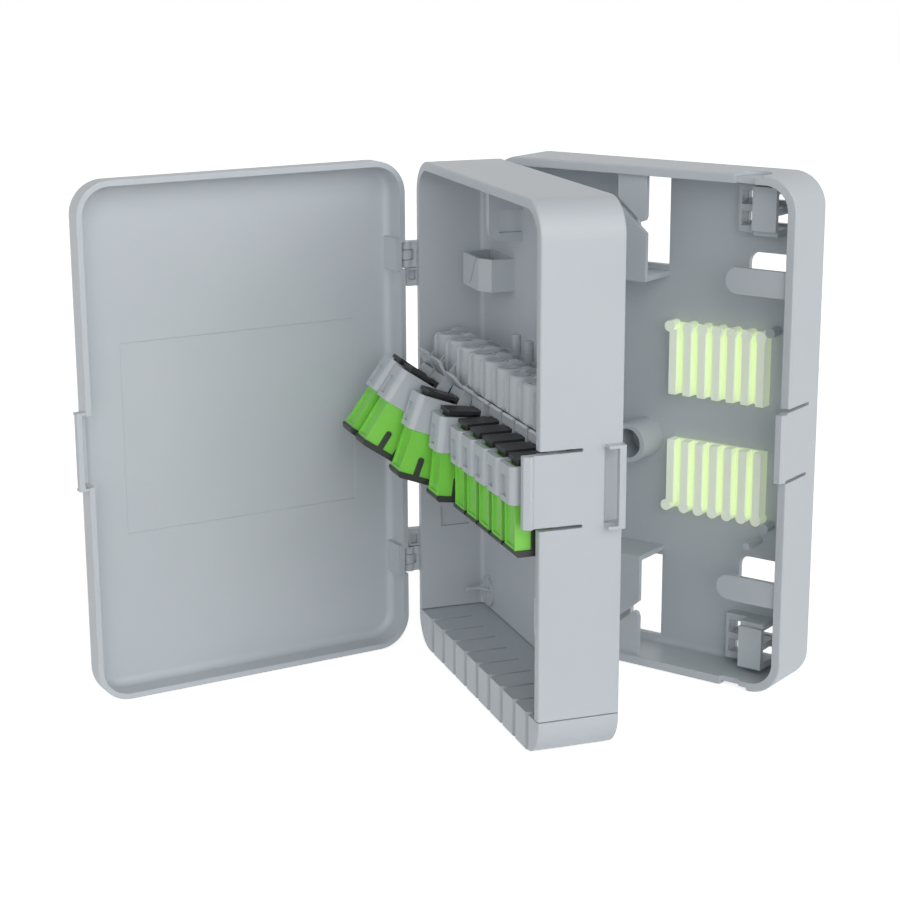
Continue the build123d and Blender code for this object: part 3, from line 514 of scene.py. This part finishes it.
@dataclass
class Studio:
    """Floor, backdrop, soft lights and the camera."""

    camera_place: tuple[float, float, float] = (0.407159, -0.702908, 0.195299)
    yaw: float = 0.6304
    pitch: float = 0.2559
    roll: float = -0.0042
    lens: float = 83.08
    sensor: float = 36.0
    floor_z: float = -0.1005
    floor_size: float = 6.0
    horizon_light: float = 0.59
    zenith_light: float = 0.12
    background_light: float = 1.0
    floor_tone: float = 0.82
    floor_roughness: float = 0.9
    floor_glow: float = 0.75
    near_clip: float = 0.01
    dome: DomeLight = DomeLight()
    fill: SoftLight = SoftLight()

    def set_camera(self) -> None:
        """Place the camera at the photograph's viewpoint."""
        ahead = Vector((
            -math.sin(self.yaw) * math.cos(self.pitch),
            math.cos(self.yaw) * math.cos(self.pitch),
            -math.sin(self.pitch),
        ))
        right = Vector((math.cos(self.yaw), math.sin(self.yaw), 0.0))
        up = right.cross(ahead)
        turned_right = right * math.cos(self.roll) + up * math.sin(self.roll)
        turned_up = up * math.cos(self.roll) - right * math.sin(self.roll)
        data = bpy.data.cameras.new("photo_camera")
        data.lens = self.lens
        data.sensor_width = self.sensor
        data.clip_start = self.near_clip
        camera = bpy.data.objects.new("photo_camera", data)
        turn = Matrix((turned_right, turned_up, -ahead)).transposed()
        camera.matrix_world = Matrix.Translation(self.camera_place) @ turn.to_4x4()
        bpy.context.scene.collection.objects.link(camera)
        bpy.context.scene.camera = camera

    def set_world(self) -> None:
        """Light from all round, with a white background for the camera."""
        world = bpy.data.worlds.new("white_studio")
        bpy.context.scene.world = world
        world.use_nodes = True
        nodes, links = world.node_tree.nodes, world.node_tree.links
        out = nodes["World Output"]
        ambient = nodes["Background"]
        ambient.inputs["Color"].default_value = WHITE
        place = nodes.new("ShaderNodeTexCoord")
        height = nodes.new("ShaderNodeSeparateXYZ")
        sky = nodes.new("ShaderNodeMapRange")
        sky.inputs["To Min"].default_value = self.horizon_light
        sky.inputs["To Max"].default_value = self.zenith_light
        links.new(place.outputs["Generated"], height.inputs["Vector"])
        links.new(height.outputs["Z"], sky.inputs["Value"])
        links.new(sky.outputs["Result"], ambient.inputs["Strength"])
        white = nodes.new("ShaderNodeBackground")
        white.inputs["Color"].default_value = WHITE
        white.inputs["Strength"].default_value = self.background_light
        path = nodes.new("ShaderNodeLightPath")
        seen = nodes.new("ShaderNodeMath")
        seen.operation = "MAXIMUM"
        also = nodes.new("ShaderNodeMath")
        also.operation = "MAXIMUM"
        links.new(path.outputs["Is Camera Ray"], seen.inputs[0])
        links.new(path.outputs["Is Transmission Ray"], seen.inputs[1])
        links.new(seen.outputs["Value"], also.inputs[0])
        links.new(path.outputs["Is Glossy Ray"], also.inputs[1])
        mix = nodes.new("ShaderNodeMixShader")
        links.new(also.outputs["Value"], mix.inputs["Fac"])
        links.new(ambient.outputs["Background"], mix.inputs[1])
        links.new(white.outputs["Background"], mix.inputs[2])
        links.new(mix.outputs["Shader"], out.inputs["Surface"])

    def add_floor(self) -> None:
        """Lay the white floor that keeps a soft shadow."""
        bpy.ops.object.select_all(action="DESELECT")
        bpy.ops.mesh.primitive_plane_add(size=self.floor_size, location=(0.0, 0.0, self.floor_z))
        floor = bpy.context.object
        floor.name = "floor"
        material = bpy.data.materials.new("white_floor")
        material.use_nodes = True
        nodes, links = material.node_tree.nodes, material.node_tree.links
        shader = nodes["Principled BSDF"]
        shader.inputs["Base Color"].default_value = (*[self.floor_tone] * 3, 1.0)
        shader.inputs["Roughness"].default_value = self.floor_roughness
        shader.inputs["Specular IOR Level"].default_value = 0.0
        glow = nodes.new("ShaderNodeEmission")
        glow.inputs["Color"].default_value = WHITE
        path = nodes.new("ShaderNodeLightPath")
        share = nodes.new("ShaderNodeMath")
        share.operation = "MULTIPLY"
        share.inputs[1].default_value = self.floor_glow
        seen = nodes.new("ShaderNodeMath")
        seen.operation = "MAXIMUM"
        links.new(path.outputs["Is Camera Ray"], seen.inputs[0])
        links.new(path.outputs["Is Glossy Ray"], seen.inputs[1])
        links.new(seen.outputs["Value"], share.inputs[0])
        links.new(share.outputs["Value"], glow.inputs["Strength"])
        add = nodes.new("ShaderNodeAddShader")
        links.new(shader.outputs["BSDF"], add.inputs[0])
        links.new(glow.outputs["Emission"], add.inputs[1])
        links.new(add.outputs["Shader"], nodes["Material Output"].inputs["Surface"])
        floor.data.materials.append(material)

    def build(self) -> None:
        """Set up the whole studio."""
        self.set_camera()
        self.set_world()
        self.add_floor()
        self.dome.add()
        self.fill.add()


def set_view() -> None:
    """Use the plain view transform."""
    bpy.context.scene.view_settings.view_transform = "Standard"


def main() -> None:
    """Build the studio and dress the box."""
    set_view()
    Studio().build()
    finishes = Finishes().dress(frame["nodes"])
    DrumEars().build(finishes[Slot.BODY.value])


if __name__ == "__main__":
    main()
